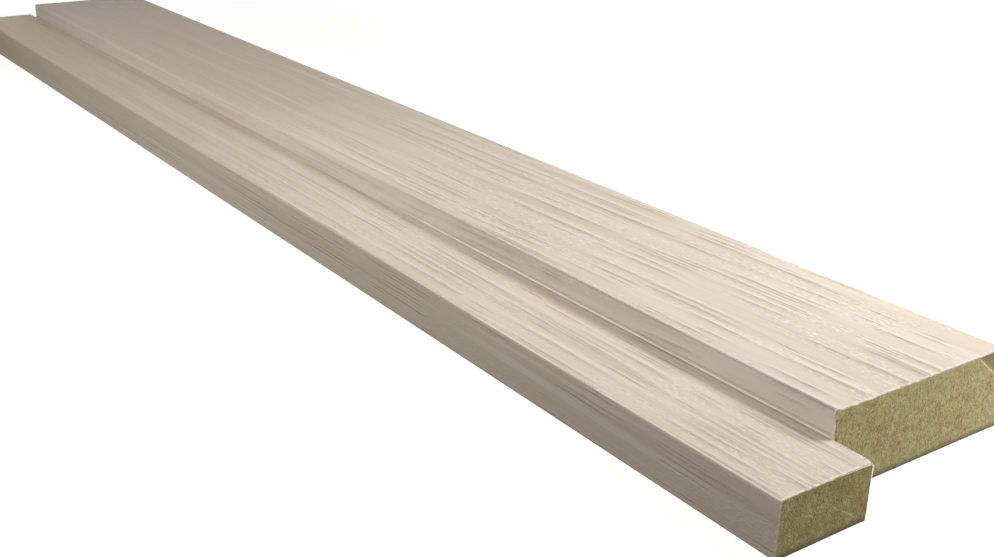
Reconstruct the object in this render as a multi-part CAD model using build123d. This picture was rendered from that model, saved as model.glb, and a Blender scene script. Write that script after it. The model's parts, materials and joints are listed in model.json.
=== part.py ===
from build123d import *
import os

# Door threshold: a rebated bar of fibreboard, wrapped in a thin decorative film and notched at both ends.
# Sizes are in millimetres. X runs along the bar, Y from the front strip to the rear face, Z up.
# The origin is on the underside, at the middle of the length and of the width.

# Section
thickness = 30.0  # thick part, underside to top
width = 125.0  # front face to rear face
rebate_depth = 10.0  # drop from the top of the thick part to the top of the strip
rebate_width = 39.0  # front face to the face of the step
arris_radius = 1.2  # rounding of the strip's and the step's long upper edges
corner_radius = 1.2  # hollow where the film turns up the step
rear_radius = 6.0  # easing of the long upper edge at the rear, where feet meet it

# Film
film = 0.4  # thickness of the decorative film over the core
film_stop = 0.5  # bare core left below the film's lower edges, on the front and rear faces

# Length
stop_length = 820.0  # thick part, shoulder to shoulder
notch_length = 15.0  # the strip runs on past each shoulder by this much
notch_bite = 0.5  # the notch's side is sawn this far in front of the step

# Places that follow from the sizes
strip_length = stop_length + 2 * notch_length
strip_height = thickness - rebate_depth
front = -width / 2
rear = width / 2
step = front + rebate_width
notch_side = step - notch_bite


def corners(profile, places):
    """The profile's vertices nearest to the given places, across and up in its own plane."""
    return [profile.vertices().sort_by_distance(place)[0] for place in places]


def section(inset):
    """The L-shaped section, drawn inside the finished outline by the inset on every side but the underside."""
    front_top = (front + inset, strip_height - inset)
    inner_corner = (step + inset, strip_height - inset)
    step_top = (step + inset, thickness - inset)
    rear_top = (rear - inset, thickness - inset)
    with BuildSketch(Plane.YZ) as profile:
        with BuildLine():
            Polyline((front + inset, 0), front_top, inner_corner, step_top, rear_top, (rear - inset, 0), close=True)
        make_face()
        fillet(corners(profile, [front_top, step_top]), arris_radius - inset)
        fillet(corners(profile, [inner_corner]), corner_radius + inset)
        fillet(corners(profile, [rear_top]), rear_radius - inset)
    return profile.sketch


def film_section():
    """What lies between the finished outline and the core's, down to the film's lower edges."""
    reach = Plane.YZ * Pos(0, (film_stop + thickness) / 2) * Rectangle(width, thickness - film_stop)
    return (section(0) - section(film)) & reach


def bar(profile):
    """The profile run out to the full length, with the thick part sawn back to its shoulder at both ends."""
    run = extrude(profile, amount=strip_length / 2, both=True)
    cut = Box(notch_length, rear - notch_side, thickness, align=Align.MIN)
    near_notch = Pos(stop_length / 2, notch_side, 0) * cut
    return run - near_notch - mirror(near_notch, Plane.YZ)


mdf_core = bar(section(film))
film_wrap = bar(film_section())

os.makedirs("parts", exist_ok=True)
export_step(mdf_core, "parts/mdf_core.step")
export_step(film_wrap, "parts/film_wrap.step")
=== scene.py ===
import json
import math

import bmesh
import bpy
import numpy as np
from mathutils import Matrix, Vector, noise


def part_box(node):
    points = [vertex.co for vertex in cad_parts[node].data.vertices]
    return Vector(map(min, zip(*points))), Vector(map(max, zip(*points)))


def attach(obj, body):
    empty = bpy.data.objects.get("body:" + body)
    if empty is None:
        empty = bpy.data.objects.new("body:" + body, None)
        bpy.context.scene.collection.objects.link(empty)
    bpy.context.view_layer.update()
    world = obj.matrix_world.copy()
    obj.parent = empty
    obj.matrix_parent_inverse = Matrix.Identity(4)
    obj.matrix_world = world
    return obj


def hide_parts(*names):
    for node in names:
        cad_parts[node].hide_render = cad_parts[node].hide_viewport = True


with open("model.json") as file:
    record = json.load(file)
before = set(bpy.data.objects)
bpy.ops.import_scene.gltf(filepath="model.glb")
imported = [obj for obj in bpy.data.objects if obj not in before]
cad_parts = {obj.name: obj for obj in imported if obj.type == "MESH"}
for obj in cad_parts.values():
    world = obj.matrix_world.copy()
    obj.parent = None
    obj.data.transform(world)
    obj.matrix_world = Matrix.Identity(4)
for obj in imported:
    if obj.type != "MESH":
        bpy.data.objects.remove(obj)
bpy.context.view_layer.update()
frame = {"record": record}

# Sizes are in metres. Overall sizes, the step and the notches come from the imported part.
MM = 0.001
mounts = {m["name"]: Vector(m["pos_m"]) for m in frame["record"]["mounts"]}
film_low, film_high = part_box("film_wrap")
core_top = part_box("mdf_core")[1][2]
front = film_low[1]
rear = film_high[1]
top = film_high[2]
film_foot = film_low[2]
film = top - core_top
strip_top = mounts["rebate_floor"].z
step = mounts["stop_face"].y
notch_side = mounts["near_notch_side"].y
shoulder = mounts["near_shoulder"].x
strip_end = mounts["near_strip_end"].x

# Radii of the long edges
arris = 1.2 * MM
hollow = 1.2 * MM
rear_arris = 6.0 * MM

# How near two places count as one: on the sections, on the sawn faces and where the core's corners are joined
TOUCH = 1e-7
ON_FACE = 1e-5
WELD = 1e-6

# The film's relief and the saw's marks
GRAIN_LEAN = 0.03
PORE_DEPTH = 0.12 * MM
FIBRE = 0.38 * MM
FIBRE_DEPTH = 0.16 * MM
SPOT_DEPTH = 0.05 * MM

# Angles between faces: below the first they are shaded as one surface, below the second they are one face
SMOOTH_BELOW = math.radians(40)
FLAT_BELOW = math.radians(0.5)

# The near end's damage. Places on its sawn faces are given across and up.
TORN_FROM = (45.4 * MM, 29.1 * MM)
TORN_TO = (62.5 * MM, 15.3 * MM)
TORN_DEPTH = 0.35 * MM
JOG = 416.0 * MM
DENT_REACH = 1.3 * MM
DENT_BACK = 0.5 * MM
DENT_DOWN = 0.9 * MM
TEAR_FACE = strip_end - 0.01 * MM
TEAR_THICKNESS = 0.13 * MM
SCRATCHES = [((y0 * MM, z0 * MM), (y1 * MM, z1 * MM)) for y0, z0, y1, z1 in (
    (-36.5, 8.1, -28.5, 2.5), (-47.5, 12.6, -43.0, 11.4),
    (-53.5, 11.9, -48.0, 9.9), (-34.0, 6.0, -29.5, 4.2))]

# Colours, in sRGB, as they look in plain light
FILM_CREAM = (0.852, 0.806, 0.742)
FILM_PINK = (0.862, 0.798, 0.735)
FILM_SAND = (0.838, 0.795, 0.708)
FILM_PALE = (0.930, 0.893, 0.835)
# Painted light: the step face is made paler and greyer with this colour
FILM_STEP_LIGHT = (0.900, 0.875, 0.845)
# Brown of the smears beside the pores; also painted shade on the front face and beyond the middle of the bar
FILM_SMEAR_AND_SHADE = (0.765, 0.690, 0.620)
FILM_PORE = (0.620, 0.550, 0.475)
# Bare film rubbed pale beside the sawn edges; also a painted highlight on the strip's front arris
FILM_WORN_AND_HIGHLIGHT = (1.0, 0.970, 0.900)
# Painted highlight along the hollow and the step's top arris
FILM_HIGHLIGHT = (1.0, 0.980, 0.935)
FILM_OLIVE = (0.765, 0.755, 0.665)
# Painted shade in the hollow and beside the arrises
FILM_CREASE_SHADE = (0.50, 0.44, 0.37)
# Painted shade: a yellower, slightly darker cast towards the far end
FAR_SHADE_TINT = (0.985, 0.975, 0.925)
TORN_CREAM = (1.0, 0.97, 0.88)
CUT_CREAM = (0.92, 0.87, 0.74)
CUT_DULL = (0.73, 0.655, 0.555)
BOARD = (0.710, 0.655, 0.480)
BOARD_YELLOW = (0.712, 0.663, 0.465)
BOARD_BROWN = (0.670, 0.590, 0.405)
BOARD_OLIVE = (0.600, 0.550, 0.365)
# Pale fibres and scratches; also a painted highlight along the torn corner's edge
BOARD_PALE_AND_HIGHLIGHT = (0.860, 0.820, 0.660)
# Dark fibres and grain; also painted shade in the corner beside the strip
BOARD_DARK_AND_SHADE = (0.420, 0.360, 0.205)
BOARD_SKIN = (0.700, 0.655, 0.545)
# Painted shade in the near end's torn corner
BOARD_TORN_SHADE = (0.500, 0.450, 0.310)
BOARD_SHADE = (0.950, 0.945, 0.900)
# Painted shade along the foot, where the board meets the floor
BOARD_FOOT_SHADE = (0.420, 0.385, 0.320)


def linear(colour):
    """An sRGB colour as the scene-linear one that the shaders take."""
    return tuple(c / 12.92 if c <= 0.04045 else ((c + 0.055) / 1.055) ** 2.4 for c in colour) + (1.0,)


class Graph:
    """A node tree, made one call at a time. Inputs are numbers, colours or other nodes' outputs."""

    def __init__(self, holder):
        holder.use_nodes = True
        self.tree = holder.node_tree
        self.tree.nodes.clear()

    def node(self, kind, inputs=None, **settings):
        made = self.tree.nodes.new(kind)
        for name, value in settings.items():
            setattr(made, name, value)
        for name, value in (inputs or {}).items():
            self.put(made.inputs[name], value)
        return made

    def put(self, socket, value):
        if isinstance(value, bpy.types.NodeSocket):
            self.tree.links.new(value, socket)
        else:
            socket.default_value = value

    def math(self, operation, *values):
        return self.node("ShaderNodeMath", dict(enumerate(values)), operation=operation).outputs[0]

    def chain(self, operation, first, *others):
        """One operation, run over several values in turn."""
        for other in others:
            first = self.math(operation, first, other)
        return first

    def add(self, *values):
        return self.chain("ADD", *values)

    def times(self, *values):
        return self.chain("MULTIPLY", *values)

    def most(self, *values):
        return self.chain("MAXIMUM", *values)

    def least(self, *values):
        return self.chain("MINIMUM", *values)

    def place(self):
        """Where the shaded point lies: along the bar, across and up."""
        coordinates = self.node("ShaderNodeTexCoord").outputs["Object"]
        return self.node("ShaderNodeSeparateXYZ", {0: coordinates}).outputs[:3]

    def facing_up(self):
        """One on faces that look up, nothing on upright ones."""
        normal = self.node("ShaderNodeTexCoord").outputs["Normal"]
        return self.ramp(self.node("ShaderNodeSeparateXYZ", {0: normal}).outputs[2], 0.4, 0.9)

    def vector(self, x, y, z=0.0):
        return self.node("ShaderNodeCombineXYZ", {0: x, 1: y, 2: z}).outputs[0]

    def noise(self, vector, detail=2.0, roughness=0.5):
        inputs = {"Vector": vector, "Scale": 1.0, "Detail": detail, "Roughness": roughness}
        return self.node("ShaderNodeTexNoise", inputs).outputs["Fac"]

    def ramp(self, value, low, high, at_low=0.0, at_high=1.0):
        """Runs smoothly from one value at low to another at high. Low may be the larger of the two."""
        inputs = {"Value": value, "From Min": low, "From Max": high, "To Min": at_low, "To Max": at_high}
        return self.node("ShaderNodeMapRange", inputs, interpolation_type="SMOOTHSTEP").outputs[0]

    def mix(self, share, a, b, blend="MIX"):
        """Mixes two colours. One given as three numbers is in sRGB."""
        made = self.node("ShaderNodeMix", data_type="RGBA", blend_type=blend)
        for socket, value in zip((made.inputs[0], made.inputs[6], made.inputs[7]), (share, a, b)):
            self.put(socket, linear(value) if isinstance(value, tuple) else value)
        return made.outputs[2]

    def attribute(self, name):
        return self.node("ShaderNodeAttribute", attribute_name=name).outputs["Fac"]

    def bump(self, height, depth):
        return self.node("ShaderNodeBump", {"Height": height, "Distance": depth, "Strength": 1.0}).outputs[0]

    def surface(self, shader):
        """Ends the tree in a shader."""
        in_world = isinstance(self.tree.id_data, bpy.types.World)
        output = self.node("ShaderNodeOutputWorld" if in_world else "ShaderNodeOutputMaterial")
        self.put(output.inputs["Surface"], shader)


def material(name, paint):
    """A new material whose nodes the paint function makes."""
    made = bpy.data.materials.new(name)
    paint(Graph(made))
    return made


def plastic(g, colour, normal, roughness, specular):
    """Ends a material in a plain glossy surface."""
    inputs = {"Base Color": colour, "Normal": normal, "Roughness": roughness, "Specular IOR Level": specular}
    g.surface(g.node("ShaderNodeBsdfPrincipled", inputs).outputs[0])


def drawn_out(g, along, across, length, width, layer, detail=2.0):
    """Noise whose spots have that length and width."""
    return g.noise(g.vector(g.times(along, 1 / length), g.times(across, 1 / width), layer), detail)


def specks(g, place, per_metre, detail=2.0, layer=0.0):
    """Noise with spots as wide as they are long, that many to the metre."""
    x, y, z = (g.times(value, per_metre) for value in place)
    return g.noise(g.vector(x, y, g.add(z, layer)), detail)


def swing(g, value, reach):
    """Noise turned into a shift to either side."""
    return g.times(g.add(value, -0.5), reach)


def pores(g, along, across, length, width, share, layer):
    """Long pores with tapering ends: a share of the stretched cells holds one each.

    Gives the pores themselves, the brown smears on one side of them and the pale ridges on the other.
    """
    pore, smear, ridge = (0.0, 0.40), (0.34, 0.52), (-0.42, 0.48)
    marks = []
    for shift, reach in (pore, smear, ridge):
        place = g.vector(g.add(g.times(along, 1 / length), layer),
                         g.add(g.times(across, 1 / width), layer + shift))
        cells = g.node("ShaderNodeTexVoronoi", {"Vector": place, "Scale": 1.0, "Exponent": 3.0},
                       voronoi_dimensions="2D", distance="MINKOWSKI")
        chance = g.node("ShaderNodeSeparateColor", {0: cells.outputs["Color"]}).outputs[0]
        there = g.ramp(chance, 1.0 - share, 1.0 - 0.8 * share)
        marks.append(g.times(there, g.ramp(cells.outputs["Distance"], reach, 0.25 * reach)))
    return marks


def line_along(g, y, z, place, reach):
    """A thin line along the bar, at a place across and up."""
    off_y, off_z = g.add(y, -place[0]), g.add(z, -place[1])
    off = g.math("SQRT", g.add(g.times(off_y, off_y), g.times(off_z, off_z)))
    return g.ramp(off, reach, 0.35 * reach)


def film_place(g, x, y, z):
    """Where a point lies in the film's grain: along it, across it, and across it with jagged sides.

    Marks are as long as stated at the near end and longer beyond it. They lean on the stop, and are narrower
    on the strip.
    """
    along = g.times(g.math("EXPONENT", g.times(x, 2.5)), 0.14)
    turning = g.ramp(z, strip_top + 0.2 * hollow, strip_top + hollow, 0.0, -GRAIN_LEAN)
    lean = g.times(g.most(g.add(x, -0.15), 0.0), turning)
    finer = g.ramp(z, strip_top + 0.4 * hollow, strip_top + 0.9 * hollow, 1.35, 1.0)
    level = g.times(g.add(y, z, lean), finer)
    sway = drawn_out(g, x, level, 190 * MM, 20 * MM, 0.3, 1.0)
    wobble = drawn_out(g, x, level, 24 * MM, 5 * MM, 6.3, 1.0)
    jag = drawn_out(g, along, level, 2.4 * MM, 0.9 * MM, 2.9, 1.0)
    across = g.add(level, swing(g, sway, 2.5 * MM), swing(g, wobble, 1.2 * MM))
    return along, across, g.add(across, swing(g, jag, 0.8 * MM))


def film_marks(g, along, across, torn, on_stop):
    """The film's pores, their smears and ridges, and the dark and the pale grains between them."""
    sets = [pores(g, along, torn, 66 * MM, 3.2 * MM, 0.30, 3.1),
            pores(g, along, torn, 40 * MM, 2.3 * MM, 0.25, 17.7),
            pores(g, along, torn, 20 * MM, 1.4 * MM, 0.09, 41.3)]
    body, smear, ridge = (g.most(*marks) for marks in zip(*sets))
    broken = g.ramp(drawn_out(g, along, across, 3 * MM, 1.0 * MM, 7.9), 0.30, 0.54, 0.45, 1.0)
    more_on_strip = g.ramp(on_stop, 1.0, 0.8, 0.0, 0.06)
    grainy = g.ramp(g.add(drawn_out(g, along, across, 70 * MM, 6 * MM, 2.7, 1.0), more_on_strip), 0.45, 0.58)
    crackle = drawn_out(g, along, torn, 2.2 * MM, 0.75 * MM, 4.1, 1.0)
    dark_grains = g.times(grainy, g.ramp(crackle, 0.42, 0.26))
    pale_grains = g.times(grainy, g.ramp(crackle, 0.53, 0.68))
    return g.times(body, broken), smear, g.times(ridge, broken), dark_grains, pale_grains


def film_ground(g, x, y, z, across):
    """The film without its grain: cream, pink and sand, with an olive band along the front face.

    Painted light makes it paler and greyer on the step, and painted shade makes it darker and more brown on
    the front face and beyond the middle of the bar.
    """
    warm = g.ramp(drawn_out(g, x, across, 60 * MM, 14 * MM, 5.9, 3.0), 0.42, 0.60)
    sandy = g.ramp(drawn_out(g, x, across, 52 * MM, 8 * MM, 8.2), 0.46, 0.66)
    colour = g.mix(warm, FILM_CREAM, FILM_PINK)
    colour = g.mix(g.times(sandy, 0.7), colour, FILM_SAND)
    # Painted light: the step face paler and greyer, for the cool light that falls on it
    step_light = g.times(g.ramp(y, step - 0.4 * hollow, step), g.ramp(y, step + arris, step + 0.4 * arris), 0.62)
    colour = g.mix(step_light, colour, FILM_STEP_LIGHT)
    # Painted shade: the top darker beyond the middle of the bar, and the front face darker
    far_and_front_shade = g.times(g.ramp(x, 0.10, -0.06, 0.0, 0.5), g.ramp(x, -0.36, -0.14, 0.1, 1.0), g.facing_up())
    colour = g.mix(g.most(far_and_front_shade, g.ramp(y, front + 0.5 * arris, front, 0.0, 0.3)), colour, FILM_SMEAR_AND_SHADE)
    height = g.add(z, swing(g, drawn_out(g, x, z, 260 * MM, 9 * MM, 1.9, 1.0), 12 * MM))
    mid_height = g.times(g.ramp(height, 2 * MM, 5 * MM), g.ramp(height, 15 * MM, 11 * MM))
    return g.mix(g.times(g.ramp(y, front + 0.3 * arris, front), mid_height, 0.36), colour, FILM_OLIVE)


def film_edges(g, x, y, z, across, colour):
    """Adds painted shade and painted highlights as thin lines along the hollow and the arrises, painted shade
    over the hollow beyond the middle of the bar, and the bare film beside the sawn edges.
    """
    nearer = g.times(g.ramp(x, 0.10, 0.26), g.ramp(x, shoulder - 0.5 * MM, shoulder - 2 * MM))
    nearest = g.ramp(x, 0.20, 0.30)
    farther = g.ramp(x, 0.16, 0.02, 0.0, 0.35)
    patchy = g.ramp(drawn_out(g, x, across, 14 * MM, 50 * MM, 5.5), 0.30, 0.50, 0.6, 1.0)

    def edge(across_at, up_at, reach, strength):
        return g.times(line_along(g, y, z, (across_at, up_at), reach), strength)

    # Painted shade: thin dark lines beside the hollow and under the step's top arris
    crease_shade = g.most(edge(step - 0.85 * hollow, strip_top, 0.70 * MM, 0.36),
                        edge(step, strip_top + 0.95 * hollow, 0.50 * MM, 0.30),
                        edge(step + 0.1 * arris, top - 0.6 * arris, 0.50 * MM, 0.28))
    # Painted highlight: thin pale lines along the hollow and the step's top arris, on the near part of the
    # bar
    hollow_and_arris_highlights = g.most(edge(step - 0.3 * hollow, strip_top + 0.3 * hollow, 0.27 * MM, 1.0),
                        edge(step + 0.8 * arris, top, 0.50 * MM, 0.35))
    # Painted highlight: a pale line along the strip's front arris at the near end
    front_highlight = g.times(edge(front + 0.4 * arris, strip_top - 0.2 * arris, 0.42 * MM, 0.85), nearest)
    # Painted shade: the hollow darker beyond the middle of the bar
    hollow_shade = g.times(edge(step - 0.4 * hollow, strip_top + 0.4 * hollow, 1.0 * MM, 1.0), farther)
    colour = g.mix(g.most(g.times(crease_shade, nearer), hollow_shade), colour, FILM_CREASE_SHADE)
    colour = g.mix(g.times(hollow_and_arris_highlights, nearer, patchy), colour, FILM_HIGHLIGHT)
    # Rubbed bare film beside the sawn edges, and the painted highlight on the front arris
    return g.mix(g.most(g.times(front_highlight, patchy), g.attribute("frayed")), colour, FILM_WORN_AND_HIGHLIGHT)


def paint_film(g):
    """Whitened-oak film: cream mottling, long pores, pale wear beside the sawn edges, and painted highlights
    and shade along the arrises and the hollow.
    """
    x, y, z = g.place()
    along, across, torn = film_place(g, x, y, z)
    on_stop = g.ramp(z, strip_top + 0.1 * MM, strip_top + 3 * MM, 0.80, 1.0)
    body, smear, ridge, dark_grains, pale_grains = film_marks(g, along, across, torn, on_stop)

    # The grain is fainter on upright faces and beyond the middle of the bar
    on_sides = g.ramp(y, front + 5 * MM, step - 5 * MM, 0.26, 0.55)
    by_facing = g.ramp(g.facing_up(), 0.0, 1.0, on_sides, 1.0)
    clear = g.times(g.ramp(x, -0.10, 0.26, 0.18, 1.0), by_facing, on_stop)
    soft = g.times(g.ramp(x, -0.30, 0.20, 0.32, 1.0), g.ramp(by_facing, 0.32, 1.0, 0.9, 1.0))

    streaky = drawn_out(g, x, across, 170 * MM, 5.5 * MM, 9.4)
    colour = film_ground(g, x, y, z, across)
    colour = g.mix(g.times(soft, g.ramp(streaky, 0.52, 0.70, 0.0, 0.38)), colour, FILM_PALE)
    colour = g.mix(g.times(soft, g.ramp(streaky, 0.48, 0.32, 0.0, 0.34)), colour, FILM_SMEAR_AND_SHADE)
    colour = g.mix(g.times(smear, clear, 0.46), colour, FILM_SMEAR_AND_SHADE)
    colour = g.mix(g.times(g.most(ridge, g.times(pale_grains, 1.2)), clear, 0.58), colour, FILM_PALE)
    colour = g.mix(g.times(g.most(body, g.times(dark_grains, 0.60)), clear, 0.50), colour, FILM_PORE)
    # Painted shade: the strip and the front face yellower and slightly darker towards the far end
    far_shade = g.times(g.ramp(x, -0.08, -0.38), g.ramp(y, step - 4 * MM, step - 8 * MM))
    colour = g.mix(far_shade, colour, g.mix(1.0, colour, FAR_SHADE_TINT, "MULTIPLY"))
    colour = film_edges(g, x, y, z, across, colour)

    grit = drawn_out(g, x, across, 3 * MM, 0.4 * MM, 3.3)
    height = g.add(g.times(body, -1.0), g.times(ridge, 0.35), g.times(dark_grains, -0.3),
                   g.times(pale_grains, 0.3), g.times(grit, 0.15))
    plastic(g, colour, g.bump(height, PORE_DEPTH), roughness=0.55, specular=0.08)


def paint_cut(g):
    """The film's cut edge: dull, with spots of bare cream, and with painted light making it paler on the
    strip's ends.
    """
    x, y, z = g.place()
    spots = specks(g, (x, y, z), 450)
    # Painted light: the cut edge paler on the strip's ends, below their top, against the shade there
    end_light = g.times(g.ramp(g.math("ABSOLUTE", x), shoulder + 6 * MM, shoulder + 12 * MM),
                    g.ramp(z, strip_top - 1.5 * MM, strip_top - 0.8 * MM), 0.05)
    colour = g.mix(g.ramp(g.add(spots, end_light), 0.50, 0.62, 0.0, 0.8), CUT_DULL, CUT_CREAM)
    plastic(g, colour, g.bump(spots, SPOT_DEPTH), roughness=0.6, specular=0.2)


def paint_torn(g):
    """Torn film that hangs from the sawn edge: bare cream on its back."""
    spots = specks(g, g.place(), 700)
    colour = g.mix(g.ramp(spots, 0.35, 0.60), CUT_CREAM, TORN_CREAM)
    plastic(g, colour, g.bump(spots, SPOT_DEPTH), roughness=0.6, specular=0.2)


def fibres(g, along, side, through, layer):
    """Short fibres that lie along one direction."""
    depth = g.add(g.times(through, 1 / FIBRE), layer)
    lying = g.vector(g.times(along, 0.25 / FIBRE), g.times(side, 1 / FIBRE), depth)
    return g.noise(lying, roughness=0.6)


def streak(g, y, z, start, end, width):
    """A straight mark on the end faces, from one place to another, both across and up."""
    (y0, z0), (y1, z1) = start, end
    length = math.dist(start, end)
    dy, dz = (y1 - y0) / length, (z1 - z0) / length
    from_y, from_z = g.add(y, -y0), g.add(z, -z0)
    along = g.add(g.times(from_y, dy), g.times(from_z, dz))
    off = g.math("ABSOLUTE", g.add(g.times(from_y, -dz), g.times(from_z, dy)))
    near_middle = g.ramp(g.math("ABSOLUTE", g.add(along, -length / 2)), 0.5 * length, 0.3 * length)
    return g.times(g.ramp(off, width, 0.3 * width), near_middle)


def wave(first, second, layer=0.0):
    """Smooth noise of about -0.6 to 0.6 at a place given in wavelengths."""
    return noise.noise(Vector((first, second, layer)))


def bump_at(place, centre, reach):
    """One at the centre, falling evenly to nothing at the reach."""
    return max(0.0, 1 - abs(place - centre) / reach)


def dented(place):
    """A place near the strip's inner corner at the near end, pushed back and down as a knock left it."""
    share = bump_at(math.dist(place, (strip_end, notch_side, strip_top)), 0.0, DENT_REACH)
    return (place[0] - DENT_BACK * share, place[1], place[2] - DENT_DOWN * share)


def beyond_tear(y, z):
    """How far a place lies past the line along which the rear corner of the near end is torn."""
    (y0, z0), (y1, z1) = TORN_FROM, TORN_TO
    return ((z - z0) * (y1 - y0) - (y - y0) * (z1 - z0)) / math.dist(TORN_FROM, TORN_TO)


def board_ground(g, place):
    """The board's colour, from broad patches down to single fibres, and the height of its fibres."""
    x, y, z = place
    rising = g.add(g.times(y, 0.7), g.times(z, 0.7))
    falling = g.add(g.times(y, 0.7), g.times(z, -0.7))
    sets = [fibres(g, y, z, x, 1.3), fibres(g, rising, falling, x, 4.7),
            fibres(g, falling, rising, x, 9.1), fibres(g, z, y, x, 14.9)]
    pale, dark = g.most(*sets), g.least(*sets)
    broad = specks(g, place, 95, 3.0)
    other = specks(g, place, 130, 3.0, 7.0)
    clumps = specks(g, place, 420, 2.0, 3.0)
    grain = specks(g, place, 900)
    colour = g.mix(g.ramp(broad, 0.42, 0.60), BOARD, BOARD_YELLOW)
    colour = g.mix(g.ramp(other, 0.48, 0.66, 0.0, 0.8), colour, BOARD_BROWN)
    colour = g.mix(g.ramp(clumps, 0.52, 0.36, 0.0, 0.50), colour, BOARD_OLIVE)
    colour = g.mix(g.ramp(clumps, 0.56, 0.70, 0.0, 0.22), colour, BOARD_PALE_AND_HIGHLIGHT)
    colour = g.mix(g.ramp(grain, 0.50, 0.34, 0.0, 0.25), colour, BOARD_DARK_AND_SHADE)
    colour = g.mix(g.ramp(dark, 0.39, 0.25), colour, BOARD_DARK_AND_SHADE)
    colour = g.mix(g.ramp(pale, 0.62, 0.76, 0.0, 0.65), colour, BOARD_PALE_AND_HIGHLIGHT)
    return colour, g.add(pale, dark, g.times(grain, 0.5))


def board_borders(g, x, y, z, colour):
    """Adds the duller board just under the film, and painted shade along the foot."""
    edge = g.noise(g.vector(g.times(x, 450), g.times(y, 450), 2.0))
    under_film = g.ramp(g.add(z, g.times(edge, 3 * MM)), top - 0.9 * MM, top + 0.9 * MM)
    under_strip = g.times(g.ramp(g.add(z, g.times(edge, 2 * MM)), strip_top - 0.4 * MM, strip_top + 1.0 * MM),
                          g.ramp(y, notch_side + 0.2 * MM, notch_side))
    colour = g.mix(g.times(g.most(under_film, under_strip), 0.45), colour, BOARD_SKIN)
    # Painted shade: darker towards the foot
    return g.mix(g.ramp(z, 2.8 * MM, 0.2 * MM, 0.0, 0.85), colour, BOARD_FOOT_SHADE)


def board_damage(g, x, y, z, colour):
    """Adds painted shade in the near end's torn corner and a painted highlight along its edge, painted shade
    in the corner beside the strip, and the scratches on the strip.
    """
    near_end = g.times(g.ramp(x, shoulder - 2.5 * MM, shoulder - 2.0 * MM),
                       g.ramp(y, notch_side, notch_side + 0.1 * MM))
    past = g.add(g.times(g.add(z, -TORN_FROM[1]), TORN_TO[0] - TORN_FROM[0]),
                 g.times(g.add(y, -TORN_FROM[0]), TORN_FROM[1] - TORN_TO[1]))
    # Painted shade: the torn corner's recess darker
    colour = g.mix(g.times(near_end, g.ramp(past, 0.0, 1e-5), 0.75), colour, BOARD_TORN_SHADE)
    # Painted shade: a dark spot in the corner where the strip meets the shoulder
    crevice_shade = g.times(near_end, line_along(g, y, z, (notch_side + 0.4 * MM, strip_top + 0.3 * MM), 1.7 * MM))
    colour = g.mix(g.times(crevice_shade, 0.85), colour, BOARD_DARK_AND_SHADE)
    # Painted highlight along the torn corner's edge, then the real scratches on the strip
    marks = g.times(near_end, streak(g, y, z, TORN_FROM, TORN_TO, 0.32 * MM), 0.6)
    strip_face = g.ramp(x, shoulder + 5 * MM, shoulder + 6 * MM, 0.0, 0.6)
    for start, end in SCRATCHES:
        marks = g.most(marks, g.times(strip_face, streak(g, y, z, start, end, 0.35 * MM)))
    return g.mix(g.times(marks, 0.85), colour, BOARD_PALE_AND_HIGHLIGHT)


def paint_board(g):
    """Sawn fibreboard: khaki, speckled with light and dark fibres, duller under the film, with painted shade
    at the foot, in the torn corner, beside the strip and on the strip's end.
    """
    x, y, z = g.place()
    colour, height = board_ground(g, (x, y, z))
    colour = board_borders(g, x, y, z, colour)
    colour = board_damage(g, x, y, z, colour)
    on_strip = g.ramp(y, notch_side + 0.3 * MM, notch_side)
    colour = g.mix(on_strip, colour, g.mix(1.0, colour, BOARD_SHADE, "MULTIPLY"))
    plastic(g, colour, g.bump(height, FIBRE_DEPTH), roughness=0.85, specular=0.10)


def line(start, end, spacing):
    """Points from start up to, but not at, end."""
    steps = max(1, round(math.dist(start, end) / spacing))
    shares = [i / steps for i in range(steps)]
    return [(start[0] + (end[0] - start[0]) * s, start[1] + (end[1] - start[1]) * s) for s in shares]


def arc(centre, radius, start, end, steps):
    """Points on an arc from one angle up to, but not at, another, in degrees."""
    angles = [math.radians(start + (end - start) * i / steps) for i in range(steps)]
    return [(centre[0] + radius * math.cos(a), centre[1] + radius * math.sin(a)) for a in angles]


def section(inset, spacing, steps):
    """The film's section, from the front face's foot over to the rear face's, and the notch's row in it."""
    small, inner, large = arris - inset, hollow + inset, rear_arris - inset
    front_y, step_y, rear_y = front + inset, step + inset, rear - inset
    strip_z, top_z = strip_top - inset, top - inset
    bite = math.degrees(math.acos((notch_side - step_y + inner) / inner))
    points = line((front_y, film_foot), (front_y, strip_z - small), spacing)
    points += arc((front_y + small, strip_z - small), small, 180, 90, steps)
    points += line((front_y + small, strip_z), (step_y - inner, strip_z), spacing)
    points += arc((step_y - inner, strip_z + inner), inner, -90, -bite, steps)
    notch_row = len(points)
    points += arc((step_y - inner, strip_z + inner), inner, -bite, 0, steps)
    points += line((step_y, strip_z + inner), (step_y, top_z - small), spacing)
    points += arc((step_y + small, top_z - small), small, 180, 90, steps)
    points += line((step_y + small, top_z), (rear_y - large, top_z), spacing)
    points += arc((rear_y - large, top_z - large), large, 90, 0, 2 * steps)
    points += line((rear_y, top_z - large), (rear_y, film_foot), 2 * spacing)
    points.append((rear_y, film_foot))
    return points, notch_row


def distances(points):
    """How far along the section each point lies."""
    steps = [math.dist(a, b) for a, b in zip(points, points[1:])]
    return [0.0, *np.cumsum(steps)]


def outward(points):
    """The section's normals, on the side away from the board."""
    out = []
    for i in range(len(points)):
        before, after = points[max(i - 1, 0)], points[min(i + 1, len(points) - 1)]
        dy, dz = after[0] - before[0], after[1] - before[1]
        size = math.hypot(dy, dz)
        out.append((-dz / size, dy / size))
    return out


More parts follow.
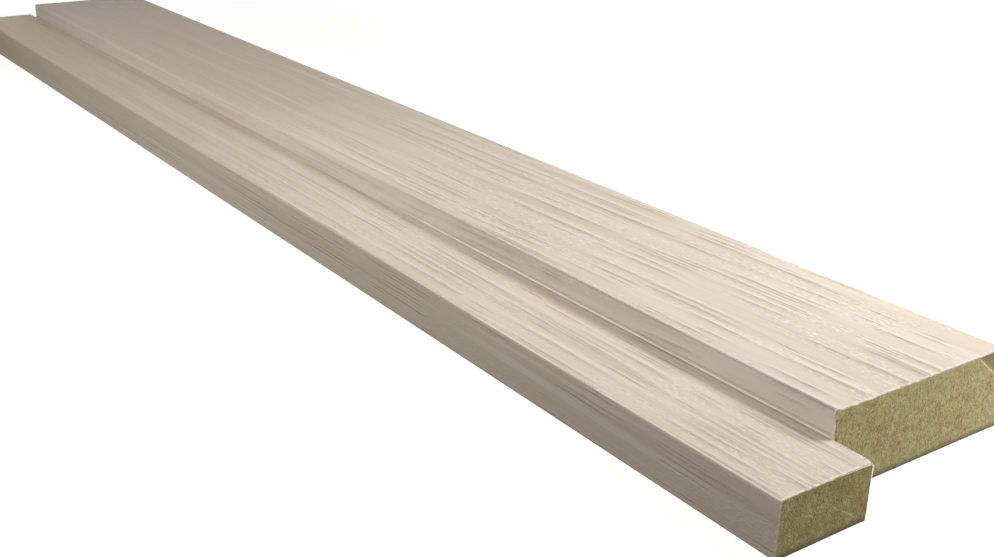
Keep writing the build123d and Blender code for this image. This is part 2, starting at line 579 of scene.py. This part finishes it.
def nick(distance, seed):
    """How deep a sawn edge of the film is nicked at a distance along it, with deeper bites here and there."""
    shallow = 0.10 * MM * (1 + wave(distance / (1.5 * MM), seed))
    bites = max(0.0, wave(distance / (2.6 * MM), seed, 5.0) - 0.16) * 1.1 * MM
    return shallow + bites


def columns():
    """Places along the bar: close together at the sawn ends, wider between."""
    before_shoulder = (10.2, 7.6, 5.4, 3.6, 2.2, 1.2, 0.5, 0.0)
    tail_steps, middle_steps = 14, 240
    near_shoulder = [shoulder - distance * MM for distance in before_shoulder]
    tail = [shoulder + (strip_end - shoulder) * i / tail_steps for i in range(1, tail_steps + 1)]
    outer = near_shoulder + tail
    middle = list(np.linspace(-outer[0], outer[0], middle_steps)[1:-1])
    return [-x for x in reversed(outer)] + middle + outer


class Skin:
    """The film as a closed skin: an embossed face, a plain back, and cut edges between them."""

    def __init__(self):
        self.points, self.notch_row = section(inset=0, spacing=0.6 * MM, steps=6)
        self.back_points, self.back_notch_row = section(inset=film, spacing=2 * MM, steps=4)
        self.at = distances(self.points)
        stretch = self.at[-1] / distances(self.back_points)[-1]
        self.back_at = [a * stretch for a in distances(self.back_points)]
        self.xs = columns()
        self.stop_columns = [i for i, x in enumerate(self.xs) if abs(x) < shoulder + TOUCH]
        self.vertices, self.faces = [], []
        self.face, self.back = {}, {}
        self.make_face()
        self.face_count = len(self.faces)
        self.make_back()
        for side in (-1, 1):
            self.close_end(side)
        self.close_foot(0, 0, range(len(self.xs)), strip_end)
        self.close_foot(len(self.points) - 1, len(self.back_points) - 1, self.stop_columns, shoulder)

    def put(self, place):
        self.vertices.append(place)
        return len(self.vertices) - 1

    def relief(self, x, row):
        """How far the film dips: the long shallow valleys of its embossed grain."""
        valley = wave(x / (70 * MM), self.at[row] / (2.4 * MM))
        fine = wave(x / (26 * MM), self.at[row] / (1.1 * MM), 3.0)
        return 0.03 * MM * (1 + valley) + 0.015 * MM * (1 + fine)

    def drawn_back(self, x, row):
        """Where a column lies once the sawn edge's nicks have pushed it back."""
        on_strip = row <= self.notch_row
        end = strip_end if on_strip else shoulder
        depth = nick(self.at[row], (11.3 if x > 0 else 23.7) + (0 if on_strip else 40))
        if x > 0:
            # The near end's film is broken back most at the step's arris and a little below it
            step_arris = self.at[self.notch_row] + (top - strip_top) - arris
            depth += 0.9 * MM * bump_at(self.at[row], step_arris, 2.4 * MM) ** 0.5
            depth += 0.3 * MM * bump_at(self.at[row], step_arris - 5 * MM, 6.5 * MM) ** 0.3
        if self.points[row][0] < front + TOUCH:
            depth = 0.02 * MM
        if not on_strip:
            depth *= min(1.0, (self.at[row] - self.at[self.notch_row]) / (1.2 * MM))
        share = max(0.0, 1 - (end - abs(x)) / (8 * MM)) ** 3
        return x - math.copysign(depth * share, x)

    def bitten(self, x, row):
        """How far the film is torn back along the notch's side: less beyond the jog."""
        if row != self.notch_row or abs(x) <= shoulder + TOUCH:
            return 0.0
        before_jog = min(1.0, max(0.0, (JOG - abs(x)) / (0.8 * MM)))
        return 0.32 * MM * before_jog + 0.16 * MM * (1 + wave(x / (1.8 * MM), 71.0))

    def make_face(self):
        for row, ((y, z), (ny, nz)) in enumerate(zip(self.points, outward(self.points))):
            for column in (range(len(self.xs)) if row <= self.notch_row else self.stop_columns):
                x = self.xs[column]
                dip = self.relief(x, row)
                back = self.bitten(x, row)
                place = (self.drawn_back(x, row), y - ny * dip - back, z - nz * dip - 0.2 * back)
                self.face[row, column] = self.put(dented(place))
        for row in range(len(self.points) - 1):
            across = range(len(self.xs)) if row < self.notch_row else self.stop_columns
            for column in across[:-1]:
                corners = [(row, column), (row, column + 1), (row + 1, column + 1), (row + 1, column)]
                self.faces.append(tuple(self.face[c] for c in corners))

    def make_back(self):
        for row, (y, z) in enumerate(self.back_points):
            ends = {strip_end} if row <= self.back_notch_row else {shoulder}
            if row == self.back_notch_row:
                ends.add(shoulder)
            for x in [side * end for end in ends for side in (-1, 1)]:
                self.back[row, x] = self.put(dented((x, y, z)))
        for row in range(len(self.back_points) - 1):
            end = strip_end if row < self.back_notch_row else shoulder
            corners = [(row, -end), (row, end), (row + 1, end), (row + 1, -end)]
            if row + 1 == self.back_notch_row:
                corners[3:3] = [(row + 1, shoulder), (row + 1, -shoulder)]
            self.faces.append(tuple(self.back[c] for c in corners))

    def zip_up(self, first, second, first_at, second_at):
        """Triangles between two rows of vertices, which may be spaced differently."""
        i = j = 0
        while i < len(first) - 1 or j < len(second) - 1:
            if j == len(second) - 1 or (i < len(first) - 1 and first_at[i + 1] <= second_at[j + 1]):
                self.faces.append((first[i], first[i + 1], second[j]))
                i += 1
            else:
                self.faces.append((first[i], second[j + 1], second[j]))
                j += 1

    def close_end(self, side):
        """The cut edges at one end of the bar: the strip's end, the notch's side and the shoulder."""
        strip_column = len(self.xs) - 1 if side > 0 else 0
        stop_column = self.stop_columns[-1 if side > 0 else 0]
        for rows, back_rows, column, x in (
                (range(self.notch_row + 1), range(self.back_notch_row + 1), strip_column, side * strip_end),
                (range(self.notch_row, len(self.points)), range(self.back_notch_row, len(self.back_points)),
                 stop_column, side * shoulder)):
            self.zip_up([self.face[r, column] for r in rows], [self.back[r, x] for r in back_rows],
                        [self.at[r] for r in rows], [self.back_at[r] for r in back_rows])
        low, high = sorted((strip_column, stop_column))
        ends = sorted((side * shoulder, side * strip_end))
        self.zip_up([self.face[self.notch_row, c] for c in range(low, high + 1)],
                    [self.back[self.back_notch_row, x] for x in ends], self.xs[low:high + 1], ends)

    def close_foot(self, row, back_row, across, end):
        """The lower edge of the front face or of the rear face."""
        ends = [-end, end]
        self.zip_up([self.face[row, c] for c in across], [self.back[back_row, x] for x in ends],
                    [self.xs[c] for c in across], ends)

    def frayed(self, x, row):
        """How far the film is rubbed bare beside its sawn edges."""
        end = strip_end if row <= self.notch_row else shoulder
        off_edge = end - abs(x)
        if abs(x) > shoulder and row <= self.notch_row:
            off_edge = min(off_edge, self.at[self.notch_row] - self.at[row])
        spots = wave(x / (1.4 * MM), self.at[row] / (1.4 * MM), 9.0)
        share = 0.20 if self.points[row][1] > strip_top - film else -0.20
        if abs(x) > shoulder:
            share += 0.14
        return min(1.0, 1.5 * max(0.0, 1 - off_edge / (1.0 * MM)) * max(0.0, spots + share))

    def values(self, measure):
        """A measure of the film's face at every vertex, nothing elsewhere."""
        out = np.zeros(len(self.vertices), dtype=np.float32)
        for (row, column), number in self.face.items():
            out[number] = measure(self.xs[column], row)
        return out


def turn_outward(mesh):
    """Makes every face of a closed mesh look outward."""
    work = bmesh.new()
    work.from_mesh(mesh)
    bmesh.ops.recalc_face_normals(work, faces=work.faces)
    work.to_mesh(mesh)
    work.free()


def new_piece(name, mesh, replaced):
    """Puts a mesh into the scene as a piece that stands for a node of the part."""
    piece = bpy.data.objects.new(name, mesh)
    bpy.context.collection.objects.link(piece)
    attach(piece, "root")
    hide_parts(replaced)


def film_skin(finish, cut_edge):
    """The film, as a piece of the scene."""
    skin = Skin()
    mesh = bpy.data.meshes.new("film_skin")
    mesh.from_pydata(skin.vertices, [], skin.faces)
    mesh.materials.append(finish)
    mesh.materials.append(cut_edge)
    rest = len(skin.faces) - skin.face_count
    mesh.polygons.foreach_set("material_index", [0] * skin.face_count + [1] * rest)
    mesh.polygons.foreach_set("use_smooth", [True] * skin.face_count + [False] * rest)
    mesh.attributes.new("frayed", "FLOAT", "POINT").data.foreach_set("value", skin.values(skin.frayed))
    turn_outward(mesh)

    # Normals are averaged over the rounded edges, but not round a cut edge
    mesh.set_sharp_from_angle(angle=SMOOTH_BELOW)
    new_piece("film_skin", mesh, "film_wrap")


def ribbon(pairs, thickness, vertices, faces):
    """Adds a closed ribbon, run along pairs of places and as thick as given toward the board."""
    base, back = len(vertices), 2 * len(pairs)
    for depth in (0.0, thickness):
        for pair in pairs:
            vertices.extend((x - depth, y, z) for x, y, z in pair)
    for i in range(len(pairs) - 1):
        a, b, c, d = base + 2 * i, base + 2 * i + 1, base + 2 * i + 3, base + 2 * i + 2
        faces += [(a, b, c, d), (d + back, c + back, b + back, a + back), (b, b + back, c + back, c),
                  (a + back, a, d, d + back)]
    for a in (base, base + back - 2):
        faces.append((a, a + 1, a + 1 + back, a + back))


def flap():
    """Pairs of places down the strip's inner arris: a flap that narrows towards its foot."""
    steps, pitch, flap_top = 44, 0.38 * MM, 18.8 * MM
    narrow_at, narrowing = 12.5 * MM, 3.5 * MM
    pairs = []
    for i in range(steps):
        z = flap_top - i * pitch
        taper = min(1.0, max(0.0, (z - narrow_at) / narrowing))
        width = max(0.05 * MM, 0.12 * MM + 0.60 * MM * taper + 0.14 * MM * wave(i * 0.55, 3.0))
        pairs.append(((TEAR_FACE - 0.2 * width, notch_side + width, z),
                      (TEAR_FACE, notch_side - 0.15 * MM, z)))
    return pairs


def fringe():
    """Pairs of places under the strip's top edge: a fringe that droops less away from the flap."""
    steps, pitch, droop_at_flap = 16, 0.9 * MM, 0.40 * MM
    pairs = []
    for i in range(steps):
        y = notch_side - 0.3 * MM - pitch * i
        droop = max(0.0, droop_at_flap * (1 - i / steps) + 0.25 * MM * wave(i * 0.8, 8.0))
        pairs.append(((TEAR_FACE, y, strip_top - 0.3 * MM),
                      (TEAR_FACE, y, strip_top - film - 0.04 * MM - droop)))
    return pairs


def torn_sliver(finish):
    """Torn film on the near end, hanging just inside the strip's sawn face."""
    vertices, faces = [], []
    for pairs in (flap(), fringe()):
        ribbon(pairs, TEAR_THICKNESS, vertices, faces)
    mesh = bpy.data.meshes.new("torn_sliver")
    mesh.from_pydata(vertices, [], faces)
    mesh.materials.append(finish)
    turn_outward(mesh)
    new_piece("torn_sliver", mesh, "film_wrap")


def cut_into_grid(work, cap, pitch):
    """Cuts one flat end face into a grid."""
    ys = [v.co.y for v in cap.verts]
    zs = [v.co.z for v in cap.verts]
    geometry = [cap, *cap.edges, *cap.verts]
    for normal, low, high in ((Vector((0, 1, 0)), min(ys), max(ys)), (Vector((0, 0, 1)), min(zs), max(zs))):
        for i in range(1, int((high - low) / pitch)):
            place = normal * (low + i * pitch)
            geometry = bmesh.ops.bisect_plane(work, geom=geometry, plane_co=place, plane_no=normal)["geom"]


def sawn_back(x, y, z):
    """How far a place on a sawn face is set back by the saw's fuzz and by the near end's torn corner."""
    back = 0.06 * MM * (1 + wave(y / (1.3 * MM), z / (1.3 * MM), x)) + 0.03 * MM
    if 0 < x < shoulder + ON_FACE:
        back += TORN_DEPTH * min(1.0, max(0.0, beyond_tear(y, z) / (0.8 * MM)))
    return back


def sawn_core(finish):
    """The fibreboard, with the fuzz and pits that a saw leaves, and the near end's torn corner."""
    work = bmesh.new()
    work.from_mesh(bpy.data.objects["mdf_core"].data)
    bmesh.ops.remove_doubles(work, verts=work.verts, dist=WELD)
    bmesh.ops.dissolve_limit(work, angle_limit=FLAT_BELOW, verts=work.verts, edges=work.edges)
    for cap in [f for f in work.faces if abs(f.normal.x) > 0.99]:
        cut_into_grid(work, cap, 0.8 * MM)
    for vertex in work.verts:
        x, y, z = vertex.co
        if min(abs(abs(x) - shoulder), abs(abs(x) - strip_end)) > ON_FACE:
            continue
        vertex.co.x -= math.copysign(sawn_back(x, y, z), x)
        vertex.co = dented(vertex.co)
    mesh = bpy.data.meshes.new("sawn_core")
    work.to_mesh(mesh)
    work.free()
    mesh.materials.clear()
    mesh.materials.append(finish)
    mesh.polygons.foreach_set("material_index", [0] * len(mesh.polygons))
    mesh.polygons.foreach_set("use_smooth", [False] * len(mesh.polygons))
    new_piece("sawn_core", mesh, "mdf_core")


def camera():
    """The photograph's view, worked out from the bar's own edges."""
    photo_width, focal, sensor = 994, 1258.1, 36.0
    place = Vector((0.62412, -0.29981, 0.20449))
    yaw, pitch, roll = math.radians(144.826), math.radians(21.816), math.radians(-0.933)
    level = math.cos(pitch)
    forward = Vector((level * math.cos(yaw), level * math.sin(yaw), -math.sin(pitch)))
    right = forward.cross(Vector((0, 0, 1))).normalized()
    down = forward.cross(right)
    rolled_right = math.cos(roll) * right + math.sin(roll) * down
    rolled_down = math.cos(roll) * down - math.sin(roll) * right
    turn = Matrix((rolled_right, -rolled_down, -forward)).transposed()
    data = bpy.data.cameras.new("camera")
    data.sensor_width = sensor
    data.lens = focal * sensor / photo_width
    data.clip_start = 0.01
    made = bpy.data.objects.new("camera", data)
    bpy.context.collection.objects.link(made)
    made.matrix_world = Matrix.Translation(place) @ turn.to_4x4()
    bpy.context.scene.camera = made


def lamp(name, place, aim, size, power, colour=(1.0, 1.0, 1.0)):
    """A square soft lamp, turned to face a place."""
    data = bpy.data.lights.new(name, "AREA")
    data.size = size
    data.energy = power
    data.color = colour
    made = bpy.data.objects.new(name, data)
    bpy.context.collection.objects.link(made)
    made.location = place
    made.rotation_mode = "QUATERNION"
    made.rotation_quaternion = (Vector(aim) - Vector(place)).to_track_quat("-Z", "Y")


def seen_directly(g):
    """One for rays from the camera, reflections or transmissions, nothing for those that light something."""
    path = g.node("ShaderNodeLightPath").outputs
    return g.most(path["Is Camera Ray"], path["Is Glossy Ray"], path["Is Transmission Ray"])


def paint_floor(g):
    """White to the camera and to reflections, with the bar's shadow on it, and dull to the bar."""
    dull_grey = (0.10, 0.10, 0.10, 1.0)
    matt_grey = (0.30, 0.30, 0.295, 1.0)
    dull = g.node("ShaderNodeBsdfDiffuse", {"Color": dull_grey}).outputs[0]
    matt = g.node("ShaderNodeBsdfDiffuse", {"Color": matt_grey}).outputs[0]
    x, y = g.place()[:2]
    away = g.math("SQRT", g.add(g.times(y, y), g.times(x, x, 0.25)))
    glow = g.node("ShaderNodeEmission", {"Strength": g.ramp(away, 0.15, 0.70, 0.86, 1.0)}).outputs[0]
    white = g.node("ShaderNodeAddShader", {0: matt, 1: glow}).outputs[0]
    g.surface(g.node("ShaderNodeMixShader", {0: seen_directly(g), 1: dull, 2: white}).outputs[0])


def floor():
    """A plain pale floor."""
    half = 6.0
    mesh = bpy.data.meshes.new("floor")
    corners = [(-half, -half, 0), (half, -half, 0), (half, half, 0), (-half, half, 0)]
    mesh.from_pydata(corners, [], [(0, 1, 2, 3)])
    mesh.materials.append(material("floor", paint_floor))
    plane = bpy.data.objects.new("floor", mesh)
    bpy.context.collection.objects.link(plane)


def surroundings():
    """White surroundings that light the bar only softly."""
    world = bpy.data.worlds.new("surroundings")
    bpy.context.scene.world = world
    g = Graph(world)
    strength = g.ramp(seen_directly(g), 0.0, 1.0, 0.06, 1.0)
    inputs = {"Color": (1.0, 1.0, 1.0, 1.0), "Strength": strength}
    g.surface(g.node("ShaderNodeBackground", inputs).outputs[0])


bpy.context.scene.view_settings.view_transform = "Standard"
film_skin(material("oak_film", paint_film), material("film_cut_edge", paint_cut))
torn_sliver(material("torn_film", paint_torn))
sawn_core(material("sawn_fibreboard", paint_board))
camera()
floor()
surroundings()
lamp("key", (0.504, 0.245, 0.400), aim=(-0.05, 0.0, 0.0), size=0.23, power=2.37, colour=(0.98, 0.99, 1.0))
lamp("front_fill", (-0.044, -0.591, 0.572), aim=(0.38, 0.0, 0.0), size=0.20, power=4.25,
     colour=(1.0, 0.99, 0.96))
lamp("rear_fill", (-0.25, 0.85, 0.06), aim=(0.0, 0.06, 0.015), size=0.20, power=2.2)
lamp("far_fill", (-0.70, 0.02, 0.017), aim=(-0.42, 0.0, 0.015), size=0.03, power=0.18)
lamp("end_fill", (0.62, 0.33, 0.036), aim=(0.41, 0.02, 0.015), size=0.05, power=1.25)
